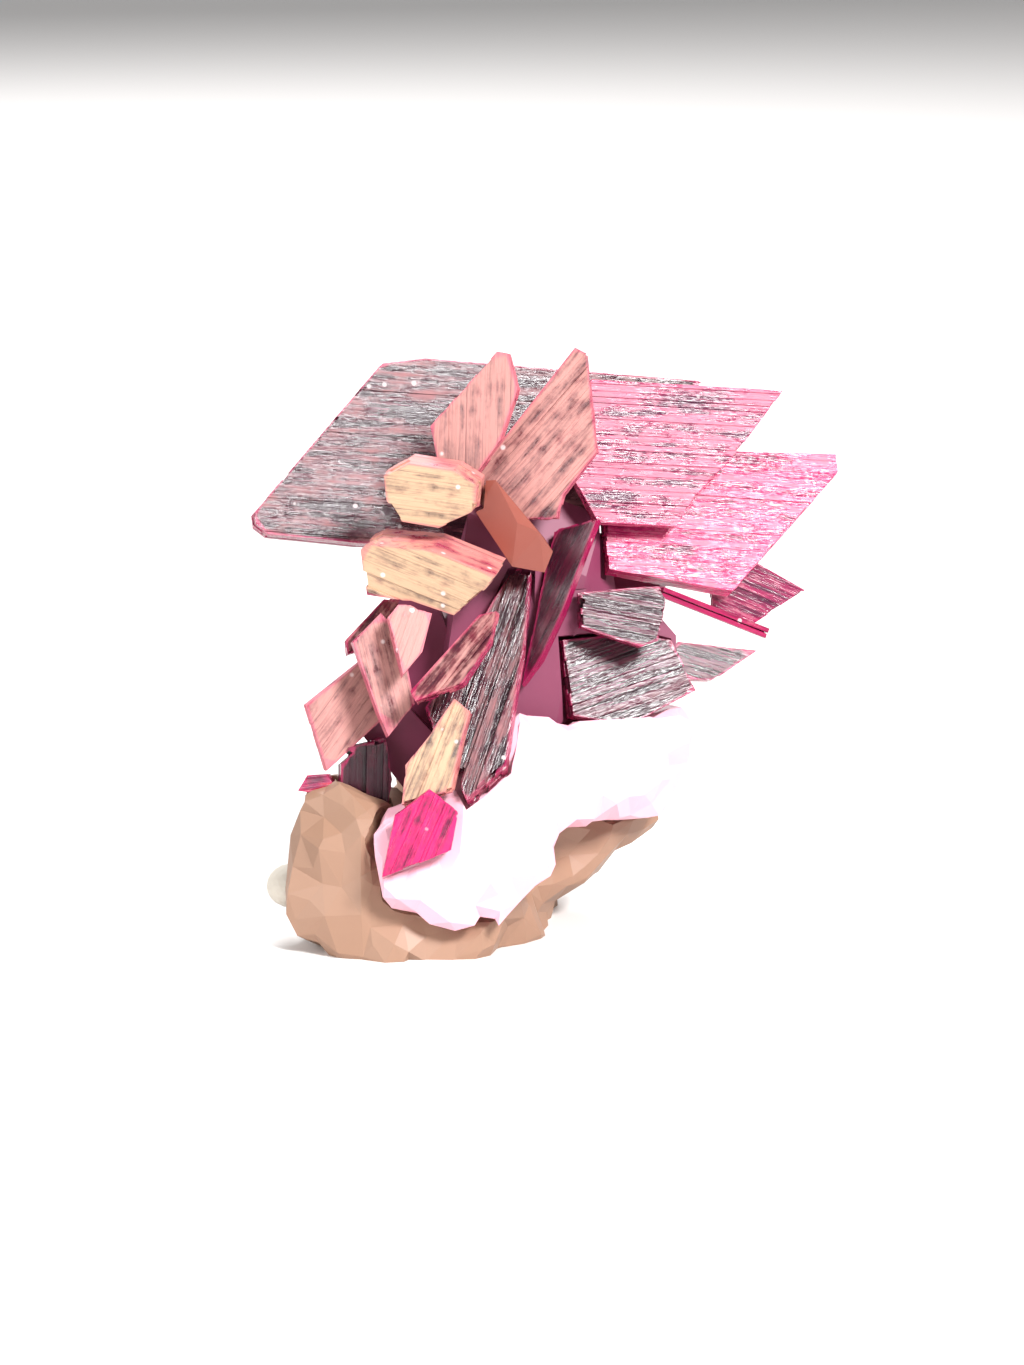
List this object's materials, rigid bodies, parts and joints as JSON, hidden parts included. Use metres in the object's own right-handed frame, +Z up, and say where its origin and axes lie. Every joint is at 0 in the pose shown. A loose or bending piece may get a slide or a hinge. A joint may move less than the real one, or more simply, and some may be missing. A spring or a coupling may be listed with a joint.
{
  "type": "erythrite crystal specimen on matrix",
  "caption": "Sprays of dark purplish-red bladed crystals standing on a wedge of brown rock coated with a pink sugary crust.",
  "frame": {"origin": "middle of the object's box, on the surface that the rock stands on", "axes": "+X to the right along the widest spread of the blades, +Y away from the side that shows best, +Z up"},
  "size_m": [0.0442, 0.0282, 0.0432],
  "materials": {
    "maroon_crystal": "glassy to pearly",
    "magenta_crystal": "glassy to pearly",
    "filmed_crystal": "glassy under a dull film",
    "crackled_crystal": "dull, cracked like cork",
    "red_brown_crystal": "satin",
    "pink_druse": "sparkling grains",
    "brown_rock": "rough, dull",
    "putty": "smooth, dull"
  },
  "bodies": {
    "root": {"matrix_rock": "brown_rock", "druzy_crust": "pink_druse", "putty_lump": "putty", "spray_stem": "maroon_crystal", "root_knot": "red_brown_crystal", "tray_crystal": "maroon_crystal", "left_upright_blade": "filmed_crystal", "right_upright_blade": "filmed_crystal", "upper_right_blade": "magenta_crystal", "big_right_blade": "magenta_crystal", "tip_blade": "magenta_crystal", "rod_lath": "maroon_crystal", "purple_plate": "maroon_crystal", "dark_lath": "maroon_crystal", "bottom_plate": "maroon_crystal", "pointed_blade": "maroon_crystal", "centre_fan": "maroon_crystal", "tan_plate": "crackled_crystal", "pink_blade": "magenta_crystal", "tan_ended_lath": "filmed_crystal", "diamond_blade": "filmed_crystal", "second_left_blade": "filmed_crystal", "outer_left_blade": "filmed_crystal", "rear_left_lath": "filmed_crystal", "dark_pillars": "maroon_crystal", "upper_crackled_crystal": "crackled_crystal", "lower_crackled_crystal": "crackled_crystal", "small_red_crystal": "magenta_crystal"}
  },
  "joints": []
}
